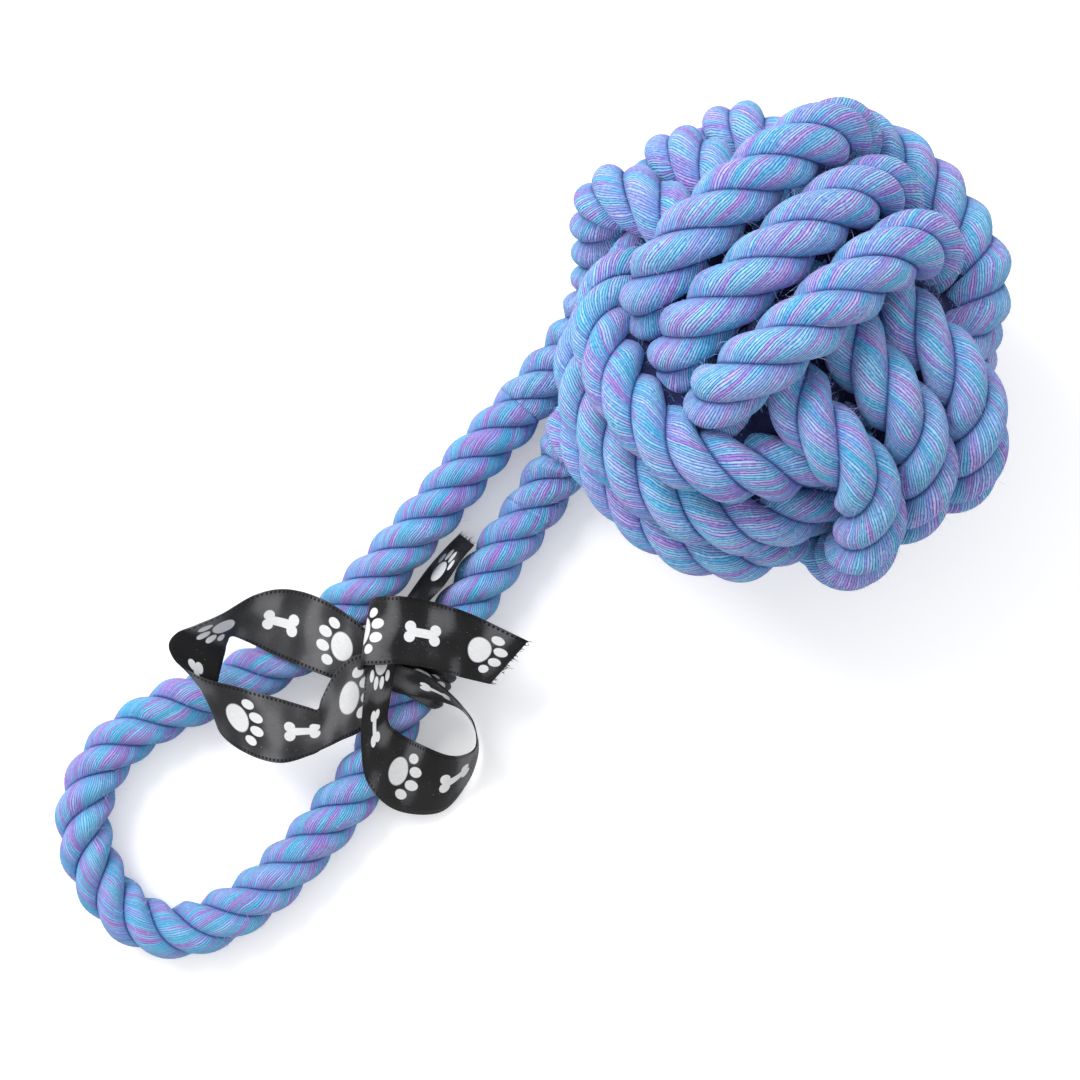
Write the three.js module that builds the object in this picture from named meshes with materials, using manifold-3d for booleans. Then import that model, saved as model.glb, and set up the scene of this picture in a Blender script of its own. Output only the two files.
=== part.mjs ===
// Rope dog toy: a ball knotted from one soft rope round a filling ball, the rope's two ends
// running on as a handle loop, and a satin ribbon tied in a bow round one leg of the loop.
// Millimetres, +Z up. The toy lies on the plane z = 0, X runs from the loop to the ball.
import * as THREE from 'three';
import { mergeVertices } from 'three/addons/utils/BufferGeometryUtils.js';
import Module from 'manifold-3d';

const wasm = await Module();
wasm.setup();

// Rope, which is a little thinner where the knot is drawn tight
const ropeDiameter = 14;
const ropeRadius = ropeDiameter / 2;
const tightRopeDiameter = 13;
const tightRopeRadius = tightRopeDiameter / 2;
const knotRopeSides = 6;
const handleRopeSides = 10;
const handleSteps = 34;
const gap = 0.3;

// Knot: three rings of turns at right angles to each other, each over one ring and under the next
const outerReach = 47.3;
const innerReach = 33.5;
const turnSpacing = 15.65;
const innerTurnSpacing = 14;
const edgeTurnSink = 3.56;
const turnSquareness = 3;
const edgeTurnExtraSquareness = 1.5;
const turnsPerRing = 3;
const stepsPerLoop = 24;
const cornerLead = 21.3;
const cornerSteps = 6;
const cornerAngle = THREE.MathUtils.degToRad(29.5);
const knotRoll = THREE.MathUtils.degToRad(-21);
const knotPitch = THREE.MathUtils.degToRad(14);
const knotYaw = THREE.MathUtils.degToRad(-14);
const knotLie = new THREE.Euler(knotRoll, knotPitch, knotYaw, 'ZYX');
const tangentAngle = THREE.MathUtils.degToRad(0.03);
const gapSamples = 4;
const gapReach = 2.5 * tightRopeDiameter;
const floorCut = tightRopeDiameter / 10;
const shiftStartShare = 1.12;
const shiftLengthShare = 0.76;

// Where the rope leaves the knot for each leg of the loop
const firstTurnAngle = THREE.MathUtils.degToRad(-12);
const lastTurnAngle = THREE.MathUtils.degToRad(-8);
const firstLegLead = 25;
const firstTurnLead = 19;
const lastTurnLead = 34;
const lastLegLead = 29;
const legSteps = 8;

// Filling ball
const fillingGap = 0.5;
const fillingSegments = 24;
const fillingRings = 14;

// Handle loop, seen from above, from the middle of the ball: first leg, round end, second leg
const handleRoute = [
  [-50, 35.5], [-65, 35.3], [-80, 34.2], [-95, 33.3], [-113, 33], [-131, 35], [-147, 40],
  [-160, 46], [-172, 50.5], [-184, 52], [-194, 49.5], [-202, 43.5], [-207.5, 34.5],
  [-210, 24.5], [-208.5, 15], [-203.5, 7.8], [-195, 3.2], [-184, 0.5], [-171, -0.2],
  [-158, 0], [-146, 1], [-134.5, 3.7], [-123, 7], [-111, 9.7], [-96, 12], [-82, 14],
  [-68, 16],
];

// Ribbon
const ribbonThickness = 0.6;
const wrapWidth = 9;
const wrapThickness = 0.8;
const wrapSides = 20;
const wrapStation = 22;
const wrapStart = THREE.MathUtils.degToRad(-42);
const wrapEnd = THREE.MathUtils.degToRad(222);
const knotHalfLength = 7.5;
const knotHalfDepth = 4.4;
const knotHalfHeight = 5.4;
const knotLean = THREE.MathUtils.degToRad(24);
const knotSegments = 16;
const knotRings = 10;
const ribbonSmoothing = 3;

// The photograph: its middle, the ball's middle in it, and how it looks down on the toy
const photoMiddlePixel = 540;
const ballPixel = [782, 341];
const pixelSize = 0.25;
const cameraHeight = 600;
const viewTurn = THREE.MathUtils.degToRad(47);

// Ribbon edges: two pixels of one place across the ribbon, each with its height as a share
// of the rope's diameter
const leftLoopEdgeShares = [
  [[378, 640, 1.06], [362, 690, 1.06]],
  [[350, 616, 1.1], [336, 680, 1.08]],
  [[318, 597, 1.12], [304, 668, 1.08]],
  [[285, 589, 1.15], [272, 654, 1.08]],
  [[255, 595, 1.35], [248, 642, 1.08]],
  [[222, 614, 1.75], [232, 636, 1.1]],
  [[192, 630, 1.95], [226, 645, 1.2]],
  [[169, 645, 2], [222, 662, 1.45]],
  [[180, 664, 2.05], [213, 695, 1.4]],
  [[204, 681, 1.85], [216, 728, 1.3]],
  [[238, 689, 1.6], [246, 753, 1.35]],
  [[278, 698, 1.45], [280, 763, 1.35]],
  [[312, 704, 1.35], [316, 752, 1.22]],
  [[330, 676, 1.3], [338, 742, 1.18]],
  [[350, 658, 1.25], [358, 733, 1.12]],
  [[371, 652, 1.2], [376, 720, 1.06]],
];
const rightLoopEdgeShares = [
  [[395, 668, 1.55], [366, 668, 1.6]],
  [[391, 694, 1.38], [363, 702, 1.45]],
  [[388, 720, 1.25], [361, 745, 1.25]],
  [[398, 732, 1.12], [368, 784, 1.05]],
  [[420, 744, 0.95], [396, 810, 0.5]],
  [[446, 755, 0.95], [440, 812, 0.16]],
  [[464, 755, 1.05], [467, 783, 0.14]],
  [[476, 746, 1.15], [478, 753, 0.14]],
  [[474, 724, 1.25], [475, 729, 0.16]],
  [[462, 706, 1.4], [463, 711, 0.4]],
  [[444, 694, 1.55], [446, 703, 0.95]],
  [[424, 687, 1.6], [424, 698, 1.2]],
  [[404, 682, 1.5], [403, 695, 1.2]],
];
const frontTailEdgeShares = [
  [[381, 604, 1.2], [368, 664, 1.12]],
  [[390, 597, 1.5], [378, 664, 1.4]],
  [[408, 597, 1.62], [400, 663, 1.55]],
  [[442, 604, 1.62], [433, 669, 1.55]],
  [[476, 616, 1.55], [460, 677, 1.45]],
  [[528, 641, 1.4], [490, 684, 1.3]],
];
const backTailEdgeShares = [
  [[378, 642, 0.5], [396, 640, 0.85]],
  [[388, 624, 0.2], [408, 626, 0.8]],
  [[404, 602, 0.1], [426, 604, 0.9]],
  [[426, 571, 0.06], [444, 585, 0.95]],
  [[446, 548, 0.05], [461, 560, 0.95]],
  [[460, 534, 0.05], [474, 545, 0.92]],
];

// Axes of each ring: the faces it passes over, the sides where it dives under, and its own axis
const rings = [
  { axes: ['y', 'z', 'x'], corner: [1, -1, -1] },
  { axes: ['z', 'x', 'y'], corner: [-1, 1, -1] },
  { axes: ['x', 'y', 'z'], corner: [1, 1, 1] },
];

const cottonBlue = new THREE.MeshStandardMaterial({ color: 0x7d9fd8, roughness: 0.95, metalness: 0 });
const handleBlue = new THREE.MeshStandardMaterial({ color: 0x6f93d2, roughness: 0.95, metalness: 0 });
const fillingFelt = new THREE.MeshStandardMaterial({ color: 0x4f5fa0, roughness: 1, metalness: 0 });
const satinBlack = new THREE.MeshStandardMaterial({ color: 0x242427, roughness: 0.45, metalness: 0 });

function toSolid(geometry) {
  const shape = new THREE.BufferGeometry();
  shape.setAttribute('position', geometry.getAttribute('position'));
  if (geometry.index) {
    shape.setIndex(geometry.index);
  }
  const merged = mergeVertices(shape);
  const vertProperties = new Float32Array(merged.getAttribute('position').array);
  const triVerts = new Uint32Array(merged.index.array);
  return new wasm.Manifold(new wasm.Mesh({ numProp: 3, vertProperties, triVerts }));
}

function toGeometry(solid) {
  const { vertProperties, triVerts, numProp } = solid.getMesh();
  const places = [];
  for (let i = 0; i < vertProperties.length; i += numProp) {
    places.push(...vertProperties.slice(i, i + 3));
  }
  const geometry = new THREE.BufferGeometry();
  geometry.setAttribute('position', new THREE.Float32BufferAttribute(places, 3));
  geometry.setIndex(Array.from(triVerts));
  return geometry;
}

function closedGeometry(loops) {
  // Loops of equal count along a route, closed by a fan at each end
  const count = loops[0].length;
  const places = loops.flat().flatMap((p) => [p.x, p.y, p.z]);
  const faces = [];
  for (let i = 0; i + 1 < loops.length; i++) {
    for (let j = 0; j < count; j++) {
      const k = (j + 1) % count;
      const [a, b, c, d] = [i * count + j, i * count + k, (i + 1) * count + k, (i + 1) * count + j];
      faces.push(a, b, c, a, c, d);
    }
  }
  const last = (loops.length - 1) * count;
  for (let j = 1; j + 1 < count; j++) {
    faces.push(0, j + 1, j);
    faces.push(last, last + j, last + j + 1);
  }
  const geometry = new THREE.BufferGeometry();
  geometry.setAttribute('position', new THREE.Float32BufferAttribute(places, 3));
  geometry.setIndex(faces);
  return geometry;
}

function tubeLoops(points, radius, sides) {
  // Sections carried along the route without twist
  const tangents = points.map((p, i) => {
    const before = points[Math.max(i - 1, 0)];
    const after = points[Math.min(i + 1, points.length - 1)];
    return after.clone().sub(before).normalize();
  });
  let across = new THREE.Vector3(0, 0, 1).cross(tangents[0]).normalize();
  return points.map((p, i) => {
    across.addScaledVector(tangents[i], -across.dot(tangents[i])).normalize();
    const up = tangents[i].clone().cross(across);
    const loop = [];
    for (let j = 0; j < sides; j++) {
      const angle = (j + 1 / 2) / sides * 2 * Math.PI;
      loop.push(p.clone()
        .addScaledVector(across, radius * Math.cos(angle))
        .addScaledVector(up, radius * Math.sin(angle)));
    }
    across = across.clone();
    return loop;
  });
}

function easedStep(x) {
  const t = Math.min(Math.max(x, 0), 1);
  return t * t * (3 - 2 * t);
}

function turnOffset(angle) {
  // 1 on the first turn, 0 on the second, -1 on the third, shifting on one side of the ring
  let offset = 1;
  for (let turn = 0; turn + 1 < turnsPerRing; turn++) {
    const start = (shiftStartShare + 2 * turn) * Math.PI;
    offset -= easedStep((angle - start) / (shiftLengthShare * Math.PI));
  }
  return offset;
}

function ringPoint(ring, angle) {
  const [outer, inner, own] = ring.axes;
  const [outerSign, innerSign, ownSign] = ring.corner;
  const offset = turnOffset(angle);
  const edge = offset * offset;
  const power = turnSquareness + edgeTurnExtraSquareness * edge;
  const cosine = Math.cos(angle);
  const sine = Math.sin(angle);
  const low = innerReach - edgeTurnSink * edge;
  const sum = Math.abs(cosine / outerReach) ** power + Math.abs(sine / low) ** power;
  const reach = sum ** (-1 / power);
  const spacing = turnSpacing + (innerTurnSpacing - turnSpacing) * sine * sine;
  const point = new THREE.Vector3();
  point[outer] = outerSign * reach * cosine;
  point[inner] = -innerSign * reach * sine;
  point[own] = ownSign * spacing * offset;
  return point.applyEuler(knotLie);
}

function ringPoints(ring, from, to) {
  const steps = Math.round((to - from) / (2 * Math.PI) * stepsPerLoop);
  const points = [];
  for (let i = 0; i <= steps; i++) {
    points.push(ringPoint(ring, from + (to - from) * i / steps));
  }
  return points;
}

function directionAt(ring, angle) {
  const after = ringPoint(ring, angle + tangentAngle);
  return after.sub(ringPoint(ring, angle - tangentAngle)).normalize();
}

function bridge(start, startDirection, startLead, end, endDirection, endLead, steps) {
  const curve = new THREE.CubicBezierCurve3(
    start,
    start.clone().addScaledVector(startDirection, startLead),
    end.clone().addScaledVector(endDirection, -endLead),
    end,
  );
  return curve.getPoints(steps).slice(1, -1);
}

const lastOuterPass = (2 * turnsPerRing - 1) * Math.PI;

function knotTurns() {
  const [first, second, third] = rings;
  const points = ringPoints(first, firstTurnAngle, lastOuterPass + cornerAngle);
  for (const [before, ring, end] of [
    [first, second, lastOuterPass + cornerAngle],
    [second, third, lastOuterPass + lastTurnAngle],
  ]) {
    const turns = ringPoints(ring, -cornerAngle, end);
    points.push(...bridge(
      points[points.length - 1], directionAt(before, lastOuterPass + cornerAngle), cornerLead,
      turns[0], directionAt(ring, -cornerAngle), cornerLead, cornerSteps,
    ));
    points.push(...turns);
  }
  return points;
}

// The knot's lowest turns are pressed flat by the floor cut, and the legs lie on the floor
const turns = knotTurns();
const lowest = Math.min(...turns.map((p) => p.z));
const ballHeight = tightRopeRadius - floorCut - lowest;
const handleInnerRadius = ropeRadius * Math.cos(Math.PI / handleRopeSides);
const handleCentres = handleRoute.map(([x, y]) => new THREE.Vector3(x, y, handleInnerRadius));

function legDirection(end, next) {
  // Out of the knot, along the leg
  return next.clone().sub(end).normalize();
}

const firstLegEnd = handleCentres[0];
const firstLegOut = legDirection(firstLegEnd, handleCentres[1]);
const secondLegEnd = handleCentres[handleCentres.length - 1];
const secondLegOut = legDirection(secondLegEnd, handleCentres[handleCentres.length - 2]);

function knotRoute() {
  const raised = turns.map((p) => p.clone().setZ(p.z + ballHeight));
  const firstStraight = firstLegEnd.clone().addScaledVector(firstLegOut, -ropeDiameter);
  const lastStraight = secondLegEnd.clone().addScaledVector(secondLegOut, -ropeDiameter);
  const firstRing = raised[0];
  const lastRing = raised[raised.length - 1];
  return [
    firstLegEnd,
    firstStraight,
    ...bridge(
      firstStraight, firstLegOut.clone().negate(), firstLegLead - ropeDiameter,
      firstRing, directionAt(rings[0], firstTurnAngle), firstTurnLead, legSteps,
    ),
    ...raised,
    ...bridge(
      lastRing, directionAt(rings[2], lastOuterPass + lastTurnAngle), lastTurnLead,
      lastStraight, secondLegOut, lastLegLead - ropeDiameter, legSteps,
    ),
    lastStraight,
    secondLegEnd,
  ];
}

function leastSelfDistance(points) {
  // Least distance between two places of a route that lie far apart along it
  const dense = [];
  for (let i = 0; i + 1 < points.length; i++) {
    for (let j = 0; j < gapSamples; j++) {
      dense.push(points[i].clone().lerp(points[i + 1], j / gapSamples));
    }
  }
  const along = [0];
  for (let i = 1; i < dense.length; i++) {
    along.push(along[i - 1] + dense[i].distanceTo(dense[i - 1]));
  }
  let least = Infinity;
  for (let i = 0; i < dense.length; i++) {
    for (let j = i + 1; j < dense.length; j++) {
      if (along[j] - along[i] > gapReach) {
        least = Math.min(least, dense[i].distanceTo(dense[j]));
      }
    }
  }
  return least;
}

const route = knotRoute();
const knotRopeGap = leastSelfDistance(route) - tightRopeDiameter;
console.log(`least gap of the knot's rope to itself: ${knotRopeGap.toFixed(2)} mm`);

function makeKnotRope() {
  const solid = toSolid(closedGeometry(tubeLoops(route, tightRopeRadius, knotRopeSides)));
  const span = 2 * (outerReach + ropeDiameter);
  const floorBlock = new THREE.BoxGeometry(2 * span, 2 * span, span);
  floorBlock.translate(0, 0, -span / 2);
  return toGeometry(solid.subtract(toSolid(floorBlock)));
}

function makeFilling() {
  const middle = new THREE.Vector3(0, 0, ballHeight);
  const nearest = Math.min(...route.map((p) => p.distanceTo(middle)));
  const radius = nearest - tightRopeRadius - fillingGap;
  const filling = new THREE.SphereGeometry(radius, fillingSegments, fillingRings);
  return filling.translate(0, 0, ballHeight);
}

function regularSection(radius, sides) {
  const section = new THREE.Shape();
  for (let j = 0; j < sides; j++) {
    const angle = (j + 1 / 2) / sides * 2 * Math.PI;
    const [x, y] = [radius * Math.cos(angle), radius * Math.sin(angle)];
    if (j === 0) {
      section.moveTo(x, y);
    } else {
      section.lineTo(x, y);
    }
  }
  section.closePath();
  return section;
}

function handleTube(radius) {
  const points = handleCentres.map((p) => p.clone());
  points[0].addScaledVector(firstLegOut, gap);
  points[points.length - 1].addScaledVector(secondLegOut, gap);
  const extrudePath = new THREE.CatmullRomCurve3(points, false, 'centripetal');
  return new THREE.ExtrudeGeometry(
    regularSection(radius, handleRopeSides), { steps: handleSteps, extrudePath });
}

function fromPhoto([pixelX, pixelY, heightShare]) {
  const height = heightShare * ropeDiameter;
  const size = (level) => pixelSize * (cameraHeight - level) / (cameraHeight - ropeRadius);
  const ballX = (ballPixel[0] - photoMiddlePixel) * size(ballHeight);
  const ballY = (photoMiddlePixel - ballPixel[1]) * size(ballHeight);
  const x = (pixelX - photoMiddlePixel) * size(height) - ballX;
  const y = (photoMiddlePixel - pixelY) * size(height) - ballY;
  return new THREE.Vector3(
    x * Math.cos(viewTurn) + y * Math.sin(viewTurn),
    y * Math.cos(viewTurn) - x * Math.sin(viewTurn),
    height,
  );
}

function ribbonStrip(edgeShares, thickness) {
  const near = new THREE.CatmullRomCurve3(edgeShares.map(([a]) => fromPhoto(a)));
  const far = new THREE.CatmullRomCurve3(edgeShares.map(([, b]) => fromPhoto(b)));
  const steps = (edgeShares.length - 1) * ribbonSmoothing;
  const loops = [];
  for (let i = 0; i <= steps; i++) {
    const [a, b] = [near.getPoint(i / steps), far.getPoint(i / steps)];
    const ahead = near.getTangent(i / steps).add(far.getTangent(i / steps));
    const face = b.clone().sub(a).cross(ahead).normalize().multiplyScalar(thickness / 2);
    loops.push([a.clone().add(face), b.clone().add(face), b.clone().sub(face), a.clone().sub(face)]);
  }
  return toSolid(closedGeometry(loops));
}

// The ribbon goes round the second leg where its knot sits
const [wrapBefore, wrapAfter] = handleCentres.slice(wrapStation, wrapStation + 2);
const wrapMiddle = wrapBefore.clone().lerp(wrapAfter, 1 / 2);
const wrapAhead = legDirection(wrapBefore, wrapAfter);
const wrapFrame = new THREE.Matrix4().makeBasis(
  new THREE.Vector3(0, 0, 1).cross(wrapAhead), new THREE.Vector3(0, 0, 1), wrapAhead)
  .setPosition(wrapMiddle);
const wrapInner = ropeRadius + gap;
const wrapOuter = wrapInner + wrapThickness;

function makeWrap() {
  const band = new THREE.Shape();
  band.absarc(0, 0, wrapOuter, wrapStart, wrapEnd, false);
  band.absarc(0, 0, wrapInner, wrapEnd, wrapStart, true);
  band.closePath();
  const wrap = new THREE.ExtrudeGeometry(
    band, { depth: wrapWidth, bevelEnabled: false, curveSegments: wrapSides });
  return wrap.translate(0, 0, -wrapWidth / 2).applyMatrix4(wrapFrame);
}

function knotBead(clearance) {
  const away = wrapOuter + gap + knotHalfDepth;
  const bead = new THREE.SphereGeometry(1, knotSegments, knotRings);
  bead.scale(knotHalfDepth + clearance, knotHalfHeight + clearance, knotHalfLength + clearance);
  bead.translate(away, 0, 0).rotateZ(knotLean);
  return bead.applyMatrix4(wrapFrame);
}

const ropeRoom = toSolid(handleTube(ropeRadius + gap));
const wrapRoom = (() => {
  const room = new THREE.CylinderGeometry(
    wrapOuter + gap, wrapOuter + gap, wrapWidth + 2 * gap, 2 * wrapSides);
  return toSolid(room.rotateX(Math.PI / 2).applyMatrix4(wrapFrame));
})();
const beadRoom = toSolid(knotBead(gap));

function makeRibbonParts() {
  // Each stretch is cut back from the rope, the wrap, the bead and the stretches before it
  const parts = new Map();
  let room = ropeRoom.add(wrapRoom).add(beadRoom);
  for (const [name, edges] of [
    ['ribbon_loop_left', leftLoopEdgeShares],
    ['ribbon_loop_right', rightLoopEdgeShares],
    ['ribbon_tail_front', frontTailEdgeShares],
    ['ribbon_tail_back', backTailEdgeShares],
  ]) {
    const strip = ribbonStrip(edges, ribbonThickness).subtract(room);
    const pieces = strip.decompose().sort((a, b) => b.volume() - a.volume());
    parts.set(name, toGeometry(pieces[0]));
    room = room.add(ribbonStrip(edges, ribbonThickness + 2 * gap));
  }
  return parts;
}

const toy = new THREE.Group();

function addPart(name, geometry, material) {
  const mesh = new THREE.Mesh(geometry, material);
  mesh.name = name;
  toy.add(mesh);
}

addPart('knot_rope', makeKnotRope(), cottonBlue);
addPart('filling_ball', makeFilling(), fillingFelt);
addPart('handle_rope', handleTube(ropeRadius), handleBlue);
addPart('ribbon_wrap', makeWrap(), satinBlack);
addPart('ribbon_knot', knotBead(0), satinBlack);
for (const [name, geometry] of makeRibbonParts()) {
  addPart(name, geometry, satinBlack);
}

// The origin is the middle of the toy's outline, on the surface that it lies on
const extent = new THREE.Box3().setFromObject(toy);
const middle = extent.getCenter(new THREE.Vector3());
toy.position.set(-middle.x, -middle.y, -extent.min.z);

export default toy;
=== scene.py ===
import math

import bpy
import numpy as np
from mathutils import Matrix, Vector


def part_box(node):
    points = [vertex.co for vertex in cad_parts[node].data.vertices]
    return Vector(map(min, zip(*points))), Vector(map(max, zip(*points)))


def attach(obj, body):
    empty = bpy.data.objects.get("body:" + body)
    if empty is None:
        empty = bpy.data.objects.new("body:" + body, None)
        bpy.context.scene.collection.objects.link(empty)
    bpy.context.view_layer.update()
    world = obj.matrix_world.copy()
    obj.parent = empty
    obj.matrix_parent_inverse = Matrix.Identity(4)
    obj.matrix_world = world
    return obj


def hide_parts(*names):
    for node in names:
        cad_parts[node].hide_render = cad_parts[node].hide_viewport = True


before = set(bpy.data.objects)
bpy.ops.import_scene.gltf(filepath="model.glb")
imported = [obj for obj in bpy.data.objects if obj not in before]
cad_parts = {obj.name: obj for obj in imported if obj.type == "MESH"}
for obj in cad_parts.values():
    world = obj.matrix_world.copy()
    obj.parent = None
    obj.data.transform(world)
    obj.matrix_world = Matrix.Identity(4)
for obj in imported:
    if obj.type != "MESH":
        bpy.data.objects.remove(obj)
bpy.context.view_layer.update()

body = "root"
millimetres = 1000

# The photograph, which looks straight down on the toy
photo_middle = 540.0
ball_pixel = (782.0, 341.0)
pixel_size = 0.00025
camera_height = 0.6
view_turn = math.radians(47)

# The rope
rope_diameter = 0.014
rope_radius = rope_diameter / 2
knot_diameter = 0.0154
strand_count = 3
handle_pitch = 0.0290
knot_pitch = 0.0330
yarns_round_strand = 48
yarn_winding = 1.78
path_step = 0.001
line_softening = 3.0
pitch_passage_steps = 40
thickness_passage_steps = 25
# A strand's thickness comes and goes: share of it, length of a wave, and seed
strand_swells = ((0.02, 0.011, 1), (0.015, 0.004, 7))

# A strand's section in rope diameters: a round back between two flat flanks, which lie
# against the flanks of the next strands
back_centre = 0.2
back_radius = 0.302
flank_share = 0.994
flank_end = 0.07
flank_angle_share = 0.98
back_points = 26
flank_points = 3

# Loose fibres that stand off the cotton
fibre_width = 0.00005
fibres_per_metre = 3600
fibre_lift = (0.15, 0.9)
fibre_slant = 0.7
fibre_half_scale = 0.0004
fibre_half_limits = (0.0003, 0.0016)
fibre_tip_lift = 0.0004
fibre_tip_slant = 0.0005
first_fibre_seed = 11

# The ribbon and the loose threads at its cut ends
ribbon_width = 0.016
ribbon_thickness = 0.0003
thread_width = 0.00018
thread_seed = 21
threads_per_end = 70
thread_start = 0.0002
thread_length_scale = 0.0005
thread_length_limits = (0.0003, 0.0026)
thread_slant = 0.45
thread_stray = 0.2
thread_tip_stray = 0.5

# The knot's sizes and angles, as in the part's source
outer_reach = 0.0473
inner_reach = 0.0335
turn_spacing = 0.01565
inner_turn_spacing = 0.014
edge_turn_sink = 0.00356
turn_squareness = 3.0
edge_turn_extra_squareness = 1.5
turns_per_ring = 3
corner_lead = 0.0213
corner_angle = math.radians(29.5)
knot_roll = math.radians(-21)
knot_pitch_angle = math.radians(14)
knot_yaw = math.radians(-14)
shift_start_share = 1.12
shift_length_share = 0.76
first_turn_angle = math.radians(-12)
last_turn_angle = math.radians(-8)
first_leg_lead = 0.025
first_turn_lead = 0.019
last_turn_lead = 0.034
last_leg_lead = 0.029
rings = (
    ((1, 2, 0), (1, -1, -1)),
    ((2, 0, 1), (-1, 1, -1)),
    ((0, 1, 2), (1, 1, 1)),
)
knot_lie = np.array(
    Matrix.Rotation(knot_yaw, 3, "Z")
    @ Matrix.Rotation(knot_pitch_angle, 3, "Y")
    @ Matrix.Rotation(knot_roll, 3, "X")
)
# How finely its route is drawn
ring_step = math.radians(1.5)
bridge_points = 40

# The handle loop's route from above, from the middle of the ball
handle_route = [
    (-0.050, 0.0355), (-0.065, 0.0353), (-0.080, 0.0342), (-0.095, 0.0333), (-0.113, 0.033),
    (-0.131, 0.035), (-0.147, 0.040), (-0.160, 0.046), (-0.172, 0.0505), (-0.184, 0.052),
    (-0.194, 0.0495), (-0.202, 0.0435), (-0.2075, 0.0345), (-0.210, 0.0245), (-0.2085, 0.015),
    (-0.2035, 0.0078), (-0.195, 0.0032), (-0.184, 0.0005), (-0.171, -0.0002), (-0.158, 0.0),
    (-0.146, 0.001), (-0.1345, 0.0037), (-0.123, 0.007), (-0.111, 0.0097), (-0.096, 0.012),
    (-0.082, 0.014), (-0.068, 0.016),
]

# Where the photograph shows the middle of the rope: the ring, the first and last angle of the
# turn in degrees, and pixels along it
turn_pixels = [
    (1, 830, 950, [(820, 132), (790, 150), (755, 178), (705, 225), (668, 265), (648, 300)]),
    (1, 470, 600, [(880, 185), (835, 205), (795, 237), (755, 275), (715, 310), (680, 345)]),
    (1, 110, 240, [(925, 240), (870, 270), (825, 312), (780, 350), (735, 385), (705, 405)]),
    (2, 110, 250, [(612, 330), (625, 390), (660, 425), (700, 455), (750, 470), (800, 465)]),
    (2, 470, 610, [(585, 375), (605, 440), (650, 485), (700, 515), (760, 530)]),
    (2, 815, 890, [(650, 518), (700, 547), (748, 554), (785, 540)]),
    (2, -30, 80, [(885, 150), (925, 185), (950, 215), (970, 250), (980, 290)]),
    (0, 90, 190, [(795, 405), (815, 430), (848, 455), (880, 495), (868, 543)]),
    (0, 450, 550, [(865, 370), (900, 400), (930, 445), (920, 495)]),
    (0, 810, 910, [(915, 335), (950, 360), (980, 400), (972, 460)]),
    (0, -12, 70, [(602, 203), (632, 195), (665, 207)]),
    (0, 330, 430, [(674, 150), (706, 170)]),
    (0, 700, 790, [(732, 125), (765, 143)]),
]

# How the knot settles. The shares say how much of its way a point goes in one round.
settle_step = 0.003
settle_rounds = 160
early_rounds = 0.8 * settle_rounds
rounds_per_search = 5
rounds_per_spacing = 4
pushes_per_round = 3
last_smoothings = 4
kept_share = 0.01
early_lead_share = 0.12
late_lead_share = 0.05
lead_spread_points = 3.0
slack_share = 0.06
stiffness_share = 0.5
push_share = 0.35
filling_push_share = 0.5
turn_contact = 0.014
least_way_to_contact = 1.7 * turn_contact
search_reach = 1.5 * turn_contact
filling_contact = 0.0295
held_points = 5
easing_points = 5

# The filling: its own form, and how it is pressed up under each turn, to a little short of the
# turn's middle line
filling_reach = 0.0275
filling_squareness = 7.0
filling_rows = 110
filling_columns = 220
filling_sink = 0.0012
filling_cover = 0.0062
filling_room = 0.0485

# Places worked out from the frame
filling_low, filling_high = (np.array(corner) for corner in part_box("filling_ball"))
ball_middle = (filling_low + filling_high) / 2
ball_height = ball_middle[2]
ball_foot = ball_middle * [1, 1, 0]
handle_points = [ball_foot + [x, y, rope_radius] for x, y in handle_route]


def pixel_at(height):
    return pixel_size * (camera_height - height) / (camera_height - rope_radius)


image_right = np.array([math.cos(view_turn), -math.sin(view_turn), 0.0])
image_up = np.array([math.sin(view_turn), math.cos(view_turn), 0.0])
view_axis = ball_foot - pixel_at(ball_height) * (
    (ball_pixel[0] - photo_middle) * image_right + (photo_middle - ball_pixel[1]) * image_up
)


def from_photo(pixel_x, pixel_y, height):
    right = (pixel_x - photo_middle) * pixel_at(height)
    up = (photo_middle - pixel_y) * pixel_at(height)
    return view_axis + right * image_right + up * image_up + [0, 0, height]


def to_photo(points):
    away = points - view_axis
    size = pixel_at(points[:, 2])
    return np.stack([
        photo_middle + away @ image_right / size,
        photo_middle - away @ image_up / size,
    ], axis=1)


def add_object(name, data):
    added = bpy.data.objects.new(name, data)
    bpy.context.scene.collection.objects.link(added)
    return added


def make_camera():
    data = bpy.data.cameras.new("photo_camera")
    data.sensor_width = 36
    view_width = 2 * photo_middle * pixel_size
    data.lens = data.sensor_width * (camera_height - rope_radius) / view_width
    camera = add_object("photo_camera", data)
    turned = Matrix(np.array([image_right, image_up, [0, 0, 1]]).T).to_4x4()
    camera.matrix_world = Matrix.Translation(Vector(view_axis + [0, 0, camera_height])) @ turned
    bpy.context.scene.camera = camera


# The rope's route

def eased(x):
    t = min(max(x, 0.0), 1.0)
    return t * t * (3 - 2 * t)


def turn_offset(angle):
    offset = 1.0
    for turn in range(turns_per_ring - 1):
        start = (shift_start_share + 2 * turn) * math.pi
        offset -= eased((angle - start) / (shift_length_share * math.pi))
    return offset


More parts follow.
